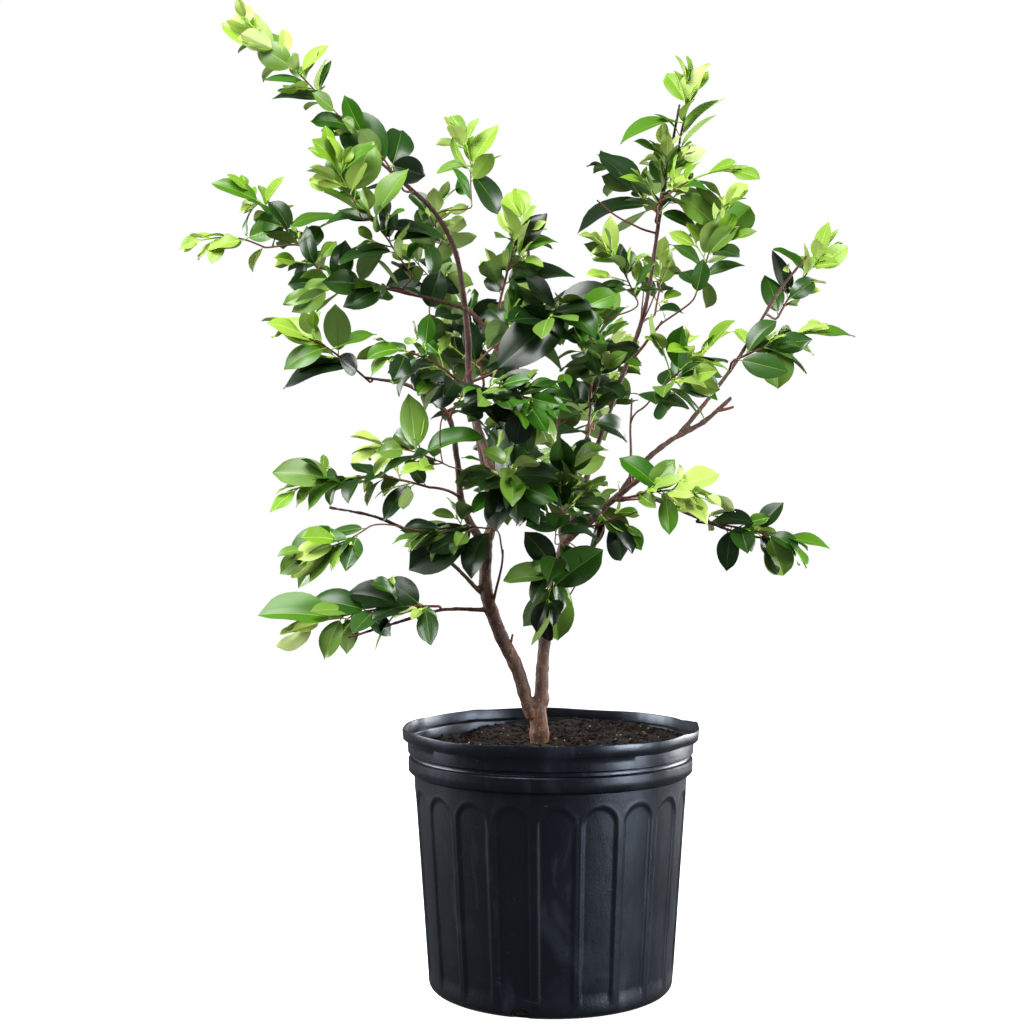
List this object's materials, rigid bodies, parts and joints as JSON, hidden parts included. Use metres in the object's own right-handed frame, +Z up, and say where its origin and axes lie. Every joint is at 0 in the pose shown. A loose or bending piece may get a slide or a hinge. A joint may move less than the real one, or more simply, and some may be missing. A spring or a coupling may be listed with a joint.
{
  "type": "camellia shrub",
  "caption": "Young evergreen camellia shrub with slender forking stems and an open leafy crown, growing in a fluted black nursery pot of potting mix.",
  "frame": {"origin": "centre of the pot's flat underside", "axes": "+Z up through the pot towards the crown, +X to the right seen from the front, +Y away from a viewer in front"},
  "size_m": [0.6628, 0.4513, 0.9316],
  "materials": {
    "pot_plastic": "black moulded plastic with a soft sheen",
    "potting_mix": "dark crumbly bark compost",
    "bark": "thin reddish brown bark",
    "leaf_dark": "dark glossy mature leaf",
    "leaf_mature": "glossy mature leaf",
    "leaf_mid": "glossy green leaf of the season",
    "leaf_young": "soft bright new leaf"
  },
  "bodies": {
    "root": {"pot": "pot_plastic", "soil": "potting_mix", "trunk": "bark", "stem_left": "bark", "stem_right": "bark", "bough_upper_left": "bark", "bough_left": "bark", "bough_centre": "bark", "bough_far_left": "bark", "bough_low_left": "bark", "bough_bottom_left": "bark", "bough_right": "bark", "stem_centre": "bark", "stem_back_right": "bark", "bough_right_outer": "bark", "bough_far_right": "bark", "bough_right_low": "bark", "bough_back_left": "bark", "bough_back_right": "bark", "leaves_top_left_tip": "leaf_young", "leaves_top_left_pair": "leaf_mature", "leaves_upper_left_bright": "leaf_young", "leaves_upper_left_fan": "leaf_mid", "leaves_left_shoulder": "leaf_mid", "leaves_far_left_tip": "leaf_young", "leaves_left_shelf": "leaf_mid", "leaves_left_middle_tip": "leaf_mid", "leaves_left_crown": "leaf_mature", "leaves_left_mid": "leaf_mid", "leaves_left_low": "leaf_mid", "leaves_left_drop": "leaf_young", "leaves_skirt_left": "leaf_dark", "leaves_bottom_left": "leaf_mid", "leaves_top_centre": "leaf_young", "leaves_upper_centre_left": "leaf_mid", "leaves_upper_centre": "leaf_mid", "leaves_heart_left": "leaf_mature", "leaves_heart": "leaf_dark", "leaves_heart_low": "leaf_mature", "leaves_low_centre": "leaf_dark", "leaves_low_centre_right": "leaf_dark", "leaves_top_right_tip": "leaf_young", "leaves_top_right": "leaf_mid", "leaves_upper_right_arch": "leaf_dark", "leaves_top_right_side": "leaf_young", "leaves_mid_spire": "leaf_mid", "leaves_right_spire": "leaf_mid", "leaves_right_spire_inner": "leaf_mid", "leaves_right_heart_left": "leaf_dark", "leaves_right_heart": "leaf_young", "leaves_far_right_tip": "leaf_young", "leaves_far_right": "leaf_mid", "leaves_bright_right": "leaf_young", "leaves_low_right_inner": "leaf_dark", "leaves_right_low": "leaf_mid", "leaves_bottom_centre": "leaf_mature", "leaves_back_left": "leaf_mature", "leaves_back_centre": "leaf_dark", "leaves_back_right": "leaf_mature", "leaves_back_low": "leaf_dark"}
  },
  "joints": []
}
